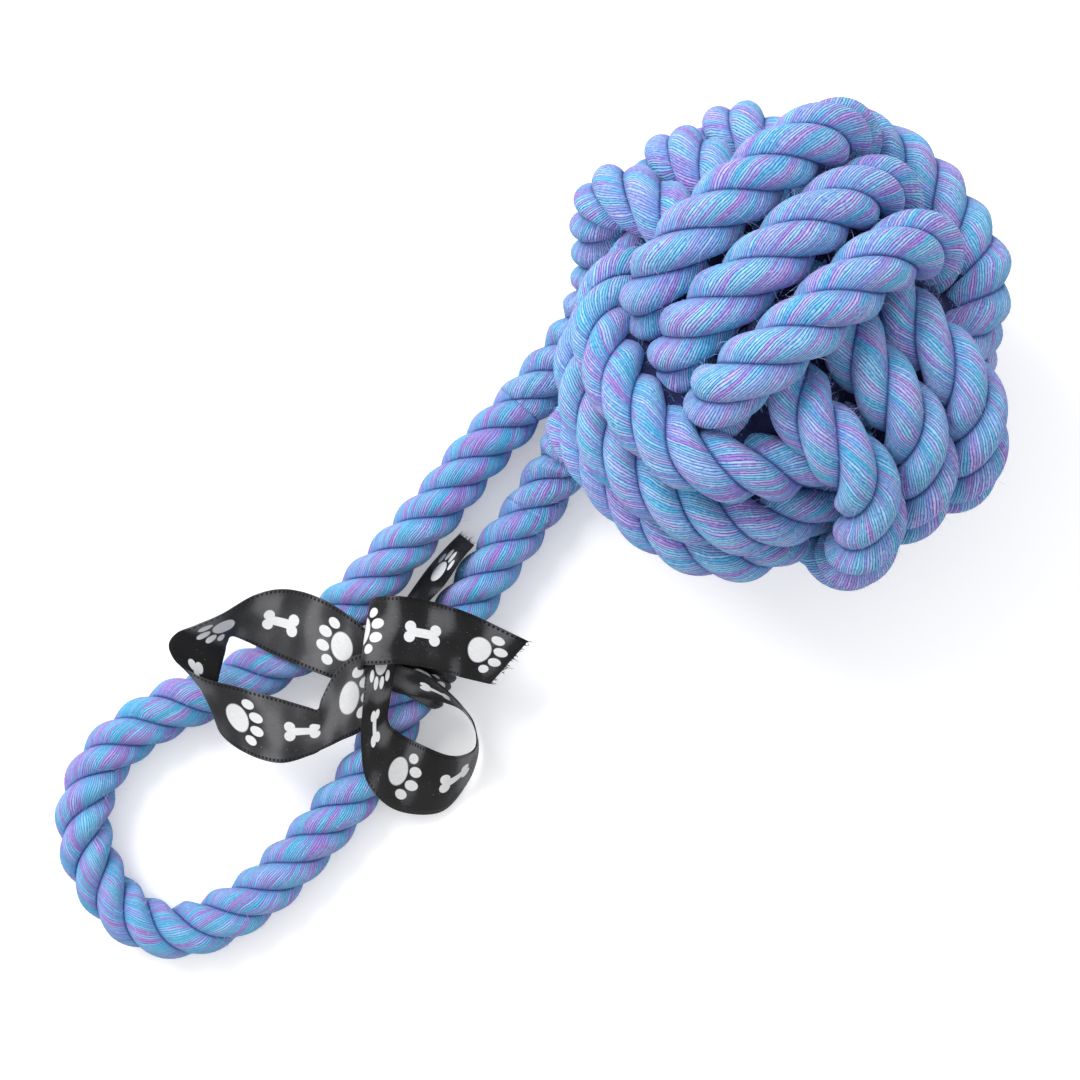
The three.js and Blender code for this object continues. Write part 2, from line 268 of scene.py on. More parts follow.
def ring_point(ring, angle):
    (outer, inner, own), (outer_sign, inner_sign, own_sign) = rings[ring]
    offset = turn_offset(angle)
    edge = offset * offset
    power = turn_squareness + edge_turn_extra_squareness * edge
    cosine, sine = math.cos(angle), math.sin(angle)
    low = inner_reach - edge_turn_sink * edge
    reach = (abs(cosine / outer_reach) ** power + abs(sine / low) ** power) ** (-1 / power)
    spacing = turn_spacing + (inner_turn_spacing - turn_spacing) * sine * sine
    point = np.zeros(3)
    point[outer] = outer_sign * reach * cosine
    point[inner] = -inner_sign * reach * sine
    point[own] = own_sign * spacing * offset
    return ball_middle + knot_lie @ point


def unit(v):
    return v / np.linalg.norm(v)


def lengths(rows):
    return np.linalg.norm(rows, axis=1)


def units(rows):
    return rows / lengths(rows)[:, None]


def ring_direction(ring, angle):
    small = 0.001
    return unit(ring_point(ring, angle + small) - ring_point(ring, angle - small))


def bridge(start, start_direction, start_lead, end, end_direction, end_lead):
    a, b, c, d = start, start + start_direction * start_lead, end - end_direction * end_lead, end
    points = []
    for t in np.linspace(0, 1, bridge_points)[1:-1]:
        s = 1 - t
        points.append(s ** 3 * a + 3 * s * s * t * b + 3 * s * t * t * c + t ** 3 * d)
    return points


def knot_route():
    """The knot's route as in the part's source, with the ring and angle of each point."""
    last_pass = (2 * turns_per_ring - 1) * math.pi
    first_leg, last_leg = handle_points[0], handle_points[-1]
    first_out, last_out = unit(handle_points[1] - first_leg), unit(handle_points[-2] - last_leg)
    route, marks = [], []

    def add(points, ring=-1, turn_angles=None):
        if turn_angles is None:
            turn_angles = np.zeros(len(points))
        route.extend(points)
        marks.extend((ring, angle) for angle in turn_angles)

    at, direction = first_leg - first_out * rope_diameter, -first_out
    lead = first_leg_lead - rope_diameter
    add([first_leg, first_leg - first_out * rope_radius, at])
    spans = (
        (first_turn_angle, last_pass + corner_angle, first_turn_lead),
        (-corner_angle, last_pass + corner_angle, corner_lead),
        (-corner_angle, last_pass + last_turn_angle, corner_lead),
    )
    for ring, (start, end, lead_in) in enumerate(spans):
        first_point, first_direction = ring_point(ring, start), ring_direction(ring, start)
        add(bridge(at, direction, lead, first_point, first_direction, lead_in))
        turn_angles = np.linspace(start, end, int((end - start) / ring_step))
        add([ring_point(ring, a) for a in turn_angles], ring, turn_angles)
        at, direction, lead = ring_point(ring, end), ring_direction(ring, end), corner_lead
    straight = last_leg - last_out * rope_diameter
    add(bridge(at, direction, last_turn_lead, straight, last_out, last_leg_lead - rope_diameter))
    add([straight, last_leg - last_out * rope_radius, last_leg])
    return np.array(route), np.array(marks)


def places_along(points):
    return np.concatenate([[0], np.cumsum(lengths(np.diff(points, axis=0)))])


def resampled(points, step=None, count=None):
    along = places_along(points)
    count = count or int(round(along[-1] / step)) + 1
    at = np.linspace(0, along[-1], count)
    return np.stack([np.interp(at, along, points[:, i]) for i in range(3)], axis=1)


def spread(values):
    out = values.copy()
    out[1:-1] = 0.5 * values[1:-1] + 0.25 * (values[:-2] + values[2:])
    return out


def bend(values):
    """How far each value's neighbours' middle is from it."""
    out = np.zeros_like(values)
    out[1:-1] = (values[:-2] + values[2:]) / 2 - values[1:-1]
    return out


def add_leads(move, drawn, leads, share):
    """Adds to each point's move its share of the way to the places in the photograph."""
    index = np.arange(len(drawn))
    seen = to_photo(drawn)
    for near, pixel in leads:
        i = near[np.argmin(lengths(seen[near] - pixel))]
        off = (pixel - seen[i]) * pixel_at(drawn[i, 2])
        shift = off[0] * image_right - off[1] * image_up
        along_rope = unit(drawn[i + 1] - drawn[i - 1])
        shift = shift - along_rope * shift.dot(along_rope)
        spread_out = np.exp(-0.5 * ((index - i) / lead_spread_points) ** 2)
        move += share * spread_out[:, None] * shift


def pushed_apart(drawn, one, other, in_knot, free):
    """Pushes the turns off each other, off the filling and off the floor."""
    between = drawn[one] - drawn[other]
    distance = lengths(between)
    hit = distance < turn_contact
    a, b, distance = one[hit], other[hit], distance[hit]
    push = (push_share * (turn_contact - distance) / distance)[:, None] * between[hit]
    total = np.zeros_like(drawn)
    hits = np.zeros(len(drawn))
    for at, shift in ((a, push), (b, -push)):
        np.add.at(total, at, shift)
        np.add.at(hits, at, 1)
    drawn = drawn + spread(total / np.sqrt(np.maximum(hits, 1))[:, None]) * free
    out = drawn - ball_middle
    reach = lengths(out)
    low = in_knot & (reach < filling_contact)
    short = filling_contact - reach[low, None]
    drawn[low] += out[low] / reach[low, None] * short * filling_push_share
    drawn[:, 2] = np.maximum(drawn[:, 2], rope_radius)
    return drawn


def settled_knot():
    """Draws the knot tight like a real one. Each turn is led to its place in the photograph,
    while the turns press on each other, on the filling and on the floor."""
    route, marks = knot_route()
    points = resampled(route, step=settle_step)
    count = len(points)
    index = np.arange(count)
    along = places_along(route)
    nearest = np.searchsorted(along, np.linspace(0, along[-1], count))
    ring_of, angle_of = marks[np.clip(nearest, 0, len(along) - 1)].T
    in_turns = index[ring_of >= 0]
    in_knot = (index >= in_turns[0]) & (index <= in_turns[-1])
    free = np.clip((index - held_points) / easing_points, 0, 1)
    free = (free * free[::-1])[:, None]
    leads = []
    for ring, low, high, pixels in turn_pixels:
        in_span = (angle_of >= math.radians(low)) & (angle_of <= math.radians(high))
        near = index[(ring_of == ring) & in_span]
        leads += [(near, np.array(pixel)) for pixel in pixels]
    one, other = np.triu_indices(count, 1)
    apart = (other - one) * settle_step > least_way_to_contact
    one, other = one[apart], other[apart]
    drawn = points.copy()
    for step in range(settle_rounds):
        move = kept_share * (points - drawn)
        add_leads(move, drawn, leads, early_lead_share if step < early_rounds else late_lead_share)
        sag = bend(drawn)
        drawn = drawn + (move + slack_share * sag - stiffness_share * bend(sag)) * free
        if step % rounds_per_search == 0:
            close = lengths(drawn[one] - drawn[other]) < search_reach
            near_one, near_other = one[close], other[close]
        for _ in range(pushes_per_round):
            drawn = pushed_apart(drawn, near_one, near_other, in_knot, free)
        if (step + 1) % rounds_per_spacing == 0:
            drawn = resampled(drawn, count=count)
    for _ in range(last_smoothings):
        drawn = spread(drawn)
    return drawn


def smooth_curve(points, per_span=12):
    """Catmull-Rom curve through the points."""
    p = np.array(points)
    p = np.vstack([2 * p[0] - p[1], p, 2 * p[-1] - p[-2]])
    out = []
    for i in range(1, len(p) - 2):
        for t in np.arange(per_span) / per_span:
            out.append(0.5 * (
                2 * p[i] + (p[i + 1] - p[i - 1]) * t
                + (2 * p[i - 1] - 5 * p[i] + 4 * p[i + 1] - p[i + 2]) * t * t
                + (3 * p[i] - p[i - 1] - 3 * p[i + 1] + p[i + 2]) * t ** 3
            ))
    out.append(p[-2])
    return np.array(out)


def softened(points, width):
    """A closed line of points, smoothed over a few points each way."""
    reach = int(3 * width)
    offsets = range(-reach, reach + 1)
    weights = np.exp(-0.5 * (np.array(offsets) / width) ** 2)
    weights /= weights.sum()
    return sum(w * np.roll(points, k, axis=0) for k, w in zip(offsets, weights))


def rope_line():
    """The whole rope as one closed line: the knot, then the handle loop back to its start."""
    knot = resampled(smooth_curve(settled_knot(), per_span=6), step=path_step)
    handle = resampled(smooth_curve(handle_points), step=path_step)
    return softened(np.vstack([knot[:-1], handle[::-1][:-1]]), line_softening), len(knot) - 1


def carried_frames(line):
    """Tangents and a normal carried round the closed line without twist."""
    tangents = units(np.roll(line, -1, axis=0) - np.roll(line, 1, axis=0))
    normals = np.zeros_like(line)
    normal = np.cross([0.0, 0, 1], tangents[0])
    for i, tangent in enumerate(tangents):
        normal = unit(normal - tangent * normal.dot(tangent))
        normals[i] = normal
    back = unit(normal - tangents[0] * normal.dot(tangents[0]))
    closing = math.atan2(back.dot(np.cross(tangents[0], normals[0])), back.dot(normals[0]))
    return tangents, normals, closing


def knot_share(count, knot_end, passage):
    """0 along the handle loop and 1 in the knot, with an even passage between them."""
    index = np.arange(count)
    return np.clip(index / passage, 0, 1) * np.clip((knot_end - index) / passage, 0, 1)


def twist_angles(line, knot_end, closing):
    """Angle of the strands at each place, closing on a whole third of a turn."""
    share = knot_share(len(line) + 1, knot_end, pitch_passage_steps)
    pitch = handle_pitch + (knot_pitch - handle_pitch) * share
    steps = lengths(np.roll(line, -1, axis=0) - line)
    angle = np.concatenate([[0], np.cumsum(2 * math.pi * steps / pitch[:-1])])
    third = 2 * math.pi / strand_count
    total = round((angle[-1] + closing) / third) * third - closing
    return angle * total / angle[-1]


# Mesh helpers

def new_piece(name, vertices, faces, smooth=True):
    mesh = bpy.data.meshes.new(name)
    mesh.from_pydata([tuple(v) for v in vertices], [], [tuple(f) for f in faces])
    mesh.polygons.foreach_set("use_smooth", [smooth] * len(mesh.polygons))
    return add_object(name, mesh)


def finish_piece(piece, material, node=None):
    piece.data.materials.append(material)
    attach(piece, body)
    if node:
        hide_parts(node)


def value_noise(x, seed):
    """Smooth noise of one number, from -1 to 1, the same on each run."""
    cell = np.floor(x)
    part = x - cell
    part = part * part * (3 - 2 * part)

    def at(i):
        return np.modf(np.sin(i * 12.9898 + seed * 78.233) * 43758.5453)[0]

    return at(cell) * (1 - part) + at(cell + 1) * part


def strand_section():
    """Points round a strand's section, outward and sideways, and the angle of each."""
    third = math.pi / strand_count
    edge = back_centre * math.cos(third) + math.sqrt(
        back_radius ** 2 - (back_centre * math.sin(third)) ** 2)
    end = math.atan2(edge * math.sin(third), edge * math.cos(third) - back_centre)
    psi = np.linspace(-end, end, back_points)
    back = np.stack([back_centre + back_radius * np.cos(psi), back_radius * np.sin(psi)], axis=1)
    inward = np.linspace(0, 1, flank_points + 1)[1:]
    reach = (edge + (flank_end - edge) * inward)[:, None]
    flank = reach * [math.cos(third), math.sin(third)]
    section = np.vstack([back, flank, (flank * [1, -1])[::-1]]) * [1, flank_share]
    flank_psi = end + (math.pi - end) * inward * flank_angle_share
    angles_round = np.concatenate([psi, flank_psi, 2 * math.pi - flank_psi[::-1]])
    return section, np.append(angles_round, angles_round[0] + 2 * math.pi)


section, section_angles = strand_section()
section_points = len(section)


class RopeStretch:
    """A stretch of the rope's line, with what its strands need at each place."""

    def __init__(self, low, high):
        window = slice(low, high + 1)
        self.line, self.tangents, self.normals = closed[window], tangents[window], normals[window]
        self.angles, self.diameters, self.place = angles[window], diameters[window], place[window]

    def strand_rows(self, strand):
        """Rings of points of one strand, and the yarn number at each of them."""
        sides = np.cross(self.tangents, self.normals)
        turn = self.angles + strand * 2 * math.pi / strand_count
        outward = np.cos(turn)[:, None] * self.normals + np.sin(turn)[:, None] * sides
        along = np.cross(self.tangents, outward)
        swell = 1.0
        for share, wave, seed in strand_swells:
            swell = swell + share * value_noise(self.place / wave, strand + seed)
        size = (self.diameters * swell)[:, None, None]
        rows = self.line[:, None, :] + size * (
            section[None, :, :1] * outward[:, None, :] + section[None, :, 1:] * along[:, None, :])
        rows[:, :, 2] = np.maximum(rows[:, :, 2], 0.0)
        # The yarns wind against the strands, so they lie nearly in line with the rope
        yarns = (section_angles[None, :] + yarn_winding * turn[:, None]) * (
            yarns_round_strand / (2 * math.pi))
        return rows, yarns


def rope_piece(name, stretch, strands):
    """A mesh of one or more strands, closed at both ends."""
    points, loops, sizes, texture, lie = [], [], [], [], []
    base = 0
    n = section_points
    for strand in strands:
        rows, yarns = stretch.strand_rows(strand)
        count = len(rows)
        i, j = np.meshgrid(np.arange(count - 1), np.arange(n), indexing="ij")
        k = (j + 1) % n
        quads = np.stack([i * n + j, i * n + k, (i + 1) * n + k, (i + 1) * n + j], axis=-1)
        ends = np.concatenate([np.arange(n)[::-1], (count - 1) * n + np.arange(n)])
        points.append(rows.reshape(-1, 3))
        loops.append(np.concatenate([quads.ravel(), ends]) + base)
        sizes += [4] * (quads.size // 4) + [n, n]
        uv = np.empty((count - 1, n, 4, 2))
        round_back = np.zeros((count - 1, n, 4, 2))
        for corner, (di, dj) in enumerate(((0, 0), (0, 1), (1, 1), (1, 0))):
            round_back[:, :, corner, 0] = section_angles[dj:n + dj]
            uv[:, :, corner, 0] = yarns[di:count - 1 + di, dj:n + dj]
            uv[:, :, corner, 1] = stretch.place[di:count - 1 + di, None] * millimetres
        texture += [uv.reshape(-1, 2), np.zeros((2 * n, 2))]
        lie += [round_back.reshape(-1, 2), np.zeros((2 * n, 2))]
        base += count * n
    loops = np.concatenate(loops)
    mesh = bpy.data.meshes.new(name)
    mesh.vertices.add(base)
    mesh.vertices.foreach_set("co", np.concatenate(points).ravel())
    mesh.loops.add(len(loops))
    mesh.loops.foreach_set("vertex_index", loops)
    mesh.polygons.add(len(sizes))
    mesh.polygons.foreach_set("loop_start", np.concatenate([[0], np.cumsum(sizes)[:-1]]))
    mesh.update(calc_edges=True)
    mesh.polygons.foreach_set("use_smooth", np.array(sizes) == 4)
    for layer, values in (("yarns", texture), ("round_back", lie)):
        mesh.uv_layers.new(name=layer).data.foreach_set("uv", np.concatenate(values).ravel())
    return add_object(name, mesh)


def blade_piece(name, root, middle, tip, broad):
    """Thin blades, each a four-sided foot and a three-sided tip."""
    blades = np.stack([root - broad, root + broad, middle + broad, middle - broad, tip], axis=1)
    blades[:, :, 2] = np.maximum(blades[:, :, 2], 0.0)
    faces = []
    for first in range(0, 5 * len(blades), 5):
        faces.append((first, first + 1, first + 2, first + 3))
        faces.append((first + 3, first + 2, first + 4))
    return new_piece(name, blades.reshape(-1, 3), faces)


def fibre_piece(name, stretch, strands, seed):
    """Short loose fibres that stand off the strands."""
    random = np.random.default_rng(seed)
    count = int((stretch.place[-1] - stretch.place[0]) * fibres_per_metre)
    blades = []

    def stray(size, width=1):
        return random.normal(0, size, (count, width))

    for strand in strands:
        rows = stretch.strand_rows(strand)[0]
        i = random.integers(1, len(rows) - 1, count)
        j = random.integers(1, back_points - 1, count)
        root = rows[i, j]
        out = units(root - stretch.line[i])
        ahead = units(rows[i + 1, j] - rows[i - 1, j])
        aside = np.cross(ahead, out)
        way = (
            out * random.uniform(*fibre_lift, (count, 1))
            + ahead * stray(fibre_slant)
            + aside * stray(fibre_slant)
        )
        half = way * np.clip(random.gamma(2.0, fibre_half_scale, (count, 1)), *fibre_half_limits)
        middle = root + half
        tip = middle + half + out * stray(fibre_tip_lift) + aside * stray(fibre_tip_slant)
        broad = np.cross(half, stray(1, 3))
        broad *= fibre_width / 2 / lengths(broad)[:, None]
        blades.append((root, middle, tip, broad))
    return blade_piece(name, *(np.concatenate(parts) for parts in zip(*blades)))


# Materials

def linear(hex_colour):
    parts = [int(hex_colour[i:i + 2], 16) / 255 for i in (0, 2, 4)]
    return [p / 12.92 if p <= 0.04045 else ((p + 0.055) / 1.055) ** 2.4 for p in parts] + [1.0]


class Nodes:
    """A node tree, with short calls for the nodes used here."""

    def __init__(self, tree):
        self.tree = tree

    def link(self, source, target):
        self.tree.links.new(source, target)

    def put(self, socket, value):
        if isinstance(value, bpy.types.NodeSocket):
            self.link(value, socket)
        else:
            socket.default_value = value

    def node(self, kind, inputs=(), **settings):
        """A new node with its settings, and with its inputs set to values or linked."""
        node = self.tree.nodes.new("ShaderNode" + kind)
        for name, value in settings.items():
            setattr(node, name, value)
        for key, value in dict(inputs).items():
            self.put(node.inputs[key], value)
        return node

    def math(self, operation, *values):
        return self.node("Math", enumerate(values), operation=operation).outputs[0]

    def plus(self, a, b):
        return self.math("ADD", a, b)

    def minus(self, a, b):
        return self.math("SUBTRACT", a, b)

    def times(self, a, b):
        return self.math("MULTIPLY", a, b)

    def over(self, a, b):
        return self.math("DIVIDE", a, b)

    def split(self, vector):
        return self.node("SeparateXYZ", {0: vector}).outputs

    def vector(self, x, y, z=0.0):
        return self.node("CombineXYZ", enumerate((x, y, z))).outputs[0]

    def uv(self, name):
        return self.node("UVMap", uv_map=name).outputs[0]

    def noise(self, vector, scale, detail=2.0, roughness=0.5):
        inputs = {"Vector": vector, "Scale": scale, "Detail": detail, "Roughness": roughness}
        return self.node("TexNoise", inputs).outputs["Fac"]

    def white(self, vector):
        node = self.node("TexWhiteNoise", {"Vector": vector}, noise_dimensions="2D")
        return node.outputs["Value"]

    def between(self, value, low, high, at_low=0.0, at_high=1.0):
        """at_low where the value is low or less, at_high where it is high or more."""
        inputs = {"Value": value, "From Min": low, "From Max": high}
        inputs.update({"To Min": at_low, "To Max": at_high})
        return self.node("MapRange", inputs, interpolation_type="SMOOTHSTEP").outputs[0]

    def ramp(self, value, stops):
        node = self.node("ValToRGB", {0: value})
        elements = node.color_ramp.elements
        while len(elements) < len(stops):
            elements.new(0.5)
        for element, (position, hex_colour) in zip(elements, stops):
            element.position = position
            element.color = linear(hex_colour)
        return node.outputs[0]

    def mix(self, factor, a, b):
        return self.node("Mix", {0: factor, 6: a, 7: b}, data_type="RGBA").outputs[2]

    def tint(self, colour, mask, amount, hex_colour):
        """The colour with some of another one laid over it where the mask is 1."""
        return self.mix(self.times(mask, amount), colour, linear(hex_colour))

    def bump(self, height, distance, strength=1.0):
        inputs = {"Height": height, "Distance": distance, "Strength": strength}
        return self.node("Bump", inputs).outputs[0]


class Shade(Nodes):
    """A material and its nodes."""

    def __init__(self, name):
        self.material = bpy.data.materials.new(name)
        self.material.use_nodes = True
        super().__init__(self.material.node_tree)
        self.tree.nodes.clear()
        self.bsdf = self.node("BsdfPrincipled")
        self.node("OutputMaterial", {0: self.bsdf.outputs[0]})

    def surface(self, values):
        """Sets the surface's sockets and hands back the material."""
        for socket, value in values.items():
            self.put(self.bsdf.inputs[socket], value)
        return self.material


# The cotton's ground colours, and the dyed runs over them: how they vary over the yarns and
# along them with a seed, the tones where they begin and are full, their strength and colour
ground_streaks = (0.07, 0.05, 1.3)
ground_colours = [(0.36, "76C4EE"), (0.50, "8BB1EE"), (0.64, "9CA5E8")]
dyed_runs = (
    ((0.30, 0.055, 7.7), (0.51, 0.585), 0.92, "AF7CD6"),
    ((0.24, 0.05, 21.1), (0.535, 0.61), 0.9, "40C0E6"),
)
yarn_tone_share = 0.08
yarn_wander = 3.0
fibre_grain = 0.35
cotton_bump = 0.00030


def cotton_material(name, contrast):
    """Cotton yarns that are dyed in runs, with painted shade in the grooves between them, painted
    highlights along the ridges of some of them, and fibres across them.
    """
    s = Shade(name)
    yarn, along, _ = s.split(s.uv("yarns"))
    # The yarns wander a little, so that no two grooves run quite alike
    wander = s.noise(s.vector(s.times(yarn, 0.15), s.times(along, 0.12)), 1.0)
    yarn = s.plus(yarn, s.times(wander, yarn_wander))
    index = s.math("FLOOR", yarn)
    centred = s.minus(s.times(s.math("FRACT", yarn), 2.0), 1.0)
    square = s.times(centred, centred)
    ridge = s.math("SQRT", s.math("MAXIMUM", s.minus(1.0, square), 0.0))
    own = s.white(s.vector(index, 3.5))
    other = s.white(s.vector(index, 8.5))
    fibre = s.noise(s.vector(s.times(yarn, 1.8), s.times(along, 1.1)), 1.0, 3.0, 0.75)
    grain = s.times(s.minus(fibre, 0.5), fibre_grain)

    def streaks(yarn_scale, along_scale, seed):
        place = s.vector(s.times(yarn, yarn_scale), s.times(along, along_scale), seed)
        return s.plus(s.noise(place, 1.0, 2.0, 0.55), grain)

    colour = s.ramp(streaks(*ground_streaks), ground_colours)
    for tone, (streak, onset, strength, dye) in zip((own, other), dyed_runs):
        run = s.plus(streaks(*streak), s.times(tone, yarn_tone_share))
        colour = s.tint(colour, s.between(run, *onset), strength, dye)
    colour = s.tint(colour, own, 0.25, "5C84DA")
    # Painted highlight along the ridges of some yarns, and painted shade in the grooves between
    # the yarns; contrast sets how strong both are
    painted_ridge_highlight = s.times(s.between(other, 0.1, 0.9), s.between(ridge, 0.75, 1.0))
    colour = s.tint(colour, painted_ridge_highlight, 0.46 * contrast, "D5E6FA")
    groove_shade = s.minus(1.0, s.between(ridge, 0.25, 0.8))
    groove_shade_depth = s.plus(0.6 * contrast, s.times(own, 0.3 * contrast))
    colour = s.tint(colour, groove_shade, groove_shade_depth, "2A50AA")
    dark_fibre = s.minus(1.0, s.between(fibre, 0.34, 0.47))
    colour = s.tint(colour, dark_fibre, 0.6 * contrast, "3A62B8")
    light_fibre = s.between(fibre, 0.53, 0.66)
    colour = s.tint(colour, light_fibre, 0.42 * contrast, "D2E4FC")
    # The light hardly reaches into the crevices between the strands
    away = s.math("ABSOLUTE", s.split(s.uv("round_back"))[0])
    colour = s.tint(colour, s.between(away, 0.7, 1.6), 0.33, "3F74C8")
    colour = s.tint(colour, s.between(away, 1.4, 1.74), 0.8, "22388A")
    height = s.plus(ridge, s.times(fibre, 1.1))
    return s.surface({
        "Base Color": colour,
        "Roughness": 0.9,
        "Specular IOR Level": 0.15,
        "Sheen Weight": 0.2,
        "Sheen Roughness": 0.5,
        "Sheen Tint": linear("C9D8FA"),
        "Normal": s.bump(height, cotton_bump),
    })


def grained_material(name, grain, stops, roughness, bump=None):
    """A material whose colour changes with a fine grain: its scale, detail and roughness."""
    s = Shade(name)
    height = s.noise(s.node("TexCoord").outputs["Object"], *grain)
    values = {"Base Color": s.ramp(height, stops), "Roughness": roughness}
    if bump:
        values["Normal"] = s.bump(height, bump)
    return s.surface(values)


# The satin, in millimetres across the ribbon and along it
ribbon_middle = ribbon_width * millimetres / 2
motif_run = 31.0
# Each disc of the printed motifs: its place along and across the ribbon, and its half sizes
motif_discs = (
    (8.2, 7.8, 2.9, 3.3), (11.3, 3.6, 1.5, 1.15), (13.1, 6.3, 1.7, 1.2),
    (13.1, 9.5, 1.7, 1.2), (11.3, 12.2, 1.5, 1.15), (21.4, 6.8, 1.35, 1.35),
    (21.4, 9.2, 1.35, 1.35), (27.6, 6.8, 1.35, 1.35), (27.6, 9.2, 1.35, 1.35),
)
bone_place, bone_half_length, bone_half_width = 24.5, 3.1, 1.05
satin_row_length = 0.30
satin_float_width = 0.45
selvedge_inside = (7.0, 7.1)
selvedge_outside = (7.6, 7.7)
stitch_length = 1.0
satin_bump = 0.00009
# Where the greys of a satin lie along its tone; its lighter greys are painted sheen
satin_tone_places = (0.15, 0.5, 0.85)
# The stretch of the left loop that turns away from the light, where its satin is painted in shade
loop_fold_stretch = (44.5, 58.5)
fold_passage = 1.5


def paws_and_bones(s, across, along):
    """1 in the white paw prints and bones that take turns along the ribbon, 0 elsewhere."""
    here = s.math("MODULO", s.plus(along, 10 * motif_run), motif_run)
    least = s.math(
        "MAXIMUM",
        s.over(s.math("ABSOLUTE", s.minus(here, bone_place)), bone_half_length),
        s.over(s.math("ABSOLUTE", s.minus(across, ribbon_middle)), bone_half_width),
    )
    for x, y, half_x, half_y in motif_discs:
        right = s.over(s.minus(here, x), half_x)
        up = s.over(s.minus(across, y), half_y)
        away = s.math("SQRT", s.plus(s.times(right, right), s.times(up, up)))
        least = s.math("MINIMUM", least, away)
    return s.minus(1.0, s.between(least, 0.93, 1.07))


def satin_material(name, greys, shaded_stretch=None):
    """Printed satin in three greys, with painted sheen over its ripples and, if a stretch is
    given, painted shade along it.
    """
    s = Shade(name)
    across, along, _ = s.split(s.uv("ribbon"))
    # Floating threads that step over from row to row, as satin has
    row = s.over(along, satin_row_length)
    step = s.times(s.math("FLOOR", row), 0.4)
    float_wave = s.times(s.plus(s.over(across, satin_float_width), step), 2 * math.pi)
    rib = s.math("SINE", s.times(row, 2 * math.pi))
    cloth = s.plus(s.times(s.math("SINE", float_wave), 0.3), s.times(rib, 0.2))
    grain = s.noise(s.vector(s.times(across, 3.0), s.times(along, 0.5)), 1.0, 4.0, 0.7)
    # The ripples bump the satin and also lighten its greys, as painted sheen
    ripple = s.noise(s.vector(s.times(across, 0.07), s.times(along, 0.11), 4.0), 1.0, 1.0)
    tone = s.plus(s.times(grain, 0.35), s.times(cloth, 0.1))
    # Painted sheen: the ripples lift the tone towards the lighter greys
    tone = s.plus(tone, s.times(s.between(ripple, 0.35, 0.68), 0.65))
    colour = s.ramp(tone, list(zip(satin_tone_places, greys)))
    # Painted shade along the stretch that turns away from the light
    if shaded_stretch:
        start, end = shaded_stretch
        past_end = s.between(along, end - fold_passage, end + fold_passage)
        painted_fold_shade = s.minus(s.between(along, start - fold_passage, start + fold_passage), past_end)
        colour = s.tint(colour, painted_fold_shade, 0.9, "050506")
    lint = s.between(s.noise(s.vector(across, along, 9.0), 2.6, 1.0), 0.76, 0.80)
    colour = s.tint(colour, lint, 0.5, "C8C8CC")
    edge = s.math("ABSOLUTE", s.minus(across, ribbon_middle))
    outside = s.minus(1.0, s.between(edge, *selvedge_outside))
    selvedge = s.times(s.between(edge, *selvedge_inside), outside)
    stitch = s.between(s.math("SINE", s.times(along, 2 * math.pi / stitch_length)), -0.1, 0.2)
    stitches = s.times(selvedge, stitch)
    colour = s.tint(colour, stitches, 0.95, "030304")
    motif = paws_and_bones(s, across, along)
    print_white = s.mix(grain, linear("CFD0D3"), linear("F4F4F4"))
    colour = s.mix(motif, colour, print_white)
    roughness = s.plus(0.34, s.times(motif, 0.25))
    height = s.minus(cloth, s.times(stitches, 2.0))
    height = s.plus(height, s.times(ripple, 12.0))
    return s.surface({
        "Base Color": colour,
        "Roughness": roughness,
        "Specular IOR Level": 0.18,
        "Sheen Weight": 0.05,
        "Normal": s.bump(height, satin_bump, 0.8),
    })


# Ribbon

# The edges of the loops and tails: pixels in the photograph, and heights in rope diameters
left_loop_edges = [
    ((378, 640, 1.06), (362, 690, 1.06)),
    ((350, 616, 1.1), (336, 680, 1.08)),
    ((318, 597, 1.12), (304, 668, 1.08)),
    ((285, 589, 1.15), (272, 654, 1.08)),
    ((255, 595, 1.35), (248, 642, 1.08)),
    ((222, 614, 1.75), (232, 636, 1.1)),
    ((194, 626, 1.93), (227, 643, 1.18)),
    ((177, 633, 1.98), (225, 652, 1.3)),
    ((169, 644, 2.02), (222, 664, 1.42)),
    ((173, 657, 2.05), (218, 681, 1.43)),
    ((184, 668, 2.03), (215, 704, 1.38)),
    ((206, 679, 1.85), (220, 732, 1.3)),
    ((238, 687, 1.6), (246, 753, 1.35)),
    ((278, 698, 1.45), (280, 763, 1.35)),
    ((308, 707, 1.37), (311, 755, 1.23)),
    ((318, 709, 1.33), (321, 750, 1.2)),
    ((322, 697, 1.3), (330, 746, 1.19)),
    ((333, 676, 1.3), (342, 740, 1.16)),
    ((350, 658, 1.25), (358, 733, 1.12)),
    ((371, 652, 1.2), (376, 720, 1.06)),
]
right_loop_edges = [
    ((397, 632, 1.26), (374, 633, 1.28)),
    ((397, 649, 1.42), (368, 649, 1.44)),
    ((395, 668, 1.5), (366, 668, 1.53)),
    ((391, 694, 1.38), (363, 702, 1.45)),
    ((388, 720, 1.25), (361, 745, 1.25)),
    ((398, 732, 1.12), (368, 784, 1.05)),
    ((420, 744, 0.95), (396, 810, 0.5)),
    ((446, 755, 0.95), (440, 812, 0.16)),
    ((464, 755, 1.05), (467, 783, 0.14)),
    ((476, 746, 1.15), (478, 753, 0.14)),
    ((474, 724, 1.25), (475, 729, 0.16)),
    ((462, 706, 1.4), (463, 711, 0.4)),
    ((444, 688, 1.52), (446, 703, 0.95)),
    ((424, 674, 1.52), (424, 698, 1.18)),
    ((404, 667, 1.42), (403, 694, 1.15)),
    ((391, 662, 1.3), (389, 690, 1.1)),
    ((381, 660, 1.22), (379, 686, 1.06)),
]
